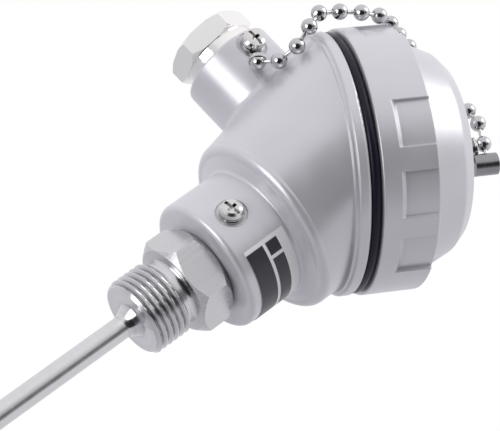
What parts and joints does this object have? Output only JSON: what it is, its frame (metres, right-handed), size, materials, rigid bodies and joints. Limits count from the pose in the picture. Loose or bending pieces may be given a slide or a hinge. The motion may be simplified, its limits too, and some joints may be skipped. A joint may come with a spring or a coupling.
{
  "type": "resistance temperature probe",
  "caption": "Temperature probe: slim sheath, threaded fitting with hexagon, and a die-cast head with tilted screw cap, cable gland and ball chain.",
  "frame": {"origin": "on the probe axis, at the head end of the process thread", "axes": "+Z along the probe axis towards the head, so the sheath points down -Z; the cable entry points along -X and the cap leans towards +X"},
  "size_m": [0.0894, 0.0708, 0.2545],
  "materials": {
    "head_paint": "satin silver-grey paint on die-cast metal",
    "seal_rubber": "smooth black rubber",
    "stainless": "turned stainless steel",
    "sheath_steel": "ground stainless tube",
    "gland_metal": "nickel-plated metal",
    "plated_steel": "bright plated steel",
    "chain_nickel": "polished nickel plate",
    "ceramic": "unglazed white ceramic",
    "terminal_brass": "bare brass",
    "wire_sleeve": "white sleeve",
    "resin": "cast resin",
    "label_film": "satin printed film"
  },
  "bodies": {
    "head": {"head_casting": "head_paint", "cap_seal": "seal_rubber", "process_fitting": "stainless", "sensor_sheath": "sheath_steel", "sheath_weld": "stainless", "gland_back_washer": "gland_metal", "gland_seal": "seal_rubber", "earth_screw": "plated_steel", "earth_spring_washer": "plated_steel", "chain_screw": "plated_steel", "chain_spring_washer": "plated_steel", "chain_eyelet_head": "plated_steel", "chain_balls": "chain_nickel", "chain_links": "chain_nickel", "terminal_block": "ceramic", "terminal_bodies": "terminal_brass", "terminal_screws": "plated_steel", "block_screws": "plated_steel", "lead_wires": "wire_sleeve", "sensing_element": "ceramic", "sheath_insulator": "ceramic", "sheath_potting": "resin", "element_leads": "chain_nickel", "neck_label": "label_film"},
    "swivel": {"chain_swivel": "plated_steel"},
    "cap": {"screw_cap": "head_paint", "swivel_pin": "plated_steel"},
    "thrust_washer": {"gland_thrust_washer": "gland_metal"},
    "gland": {"gland_screw": "gland_metal"}
  },
  "joints": [
    {"name": "cap_lift", "type": "slide", "parent": "head", "child": "swivel", "axis": [0.5, 0, 0.866], "range_m": [0, 0.0091], "deforming": ["chain_balls", "chain_links"]},
    {"name": "cap_turn", "type": "hinge", "parent": "swivel", "child": "cap", "pos_m": [-0.0026, 0, 0.0609], "axis": [0.5, 0, 0.866], "range_deg": [0, 1080]},
    {"name": "gland_shift", "type": "slide", "parent": "head", "child": "thrust_washer", "axis": [-1, 0, 0], "range_m": [0, 0.0061]},
    {"name": "gland_turn", "type": "hinge", "parent": "thrust_washer", "child": "gland", "pos_m": [-0.0432, 0, 0.0588], "axis": [-1, 0, 0], "range_deg": [0, 1440]}
  ],
  "couplings": [
    {"joint": "cap_lift", "follows": "cap_turn", "m_per_rad": 0.00047746},
    {"joint": "gland_shift", "follows": "gland_turn", "m_per_rad": 0.00023873}
  ]
}
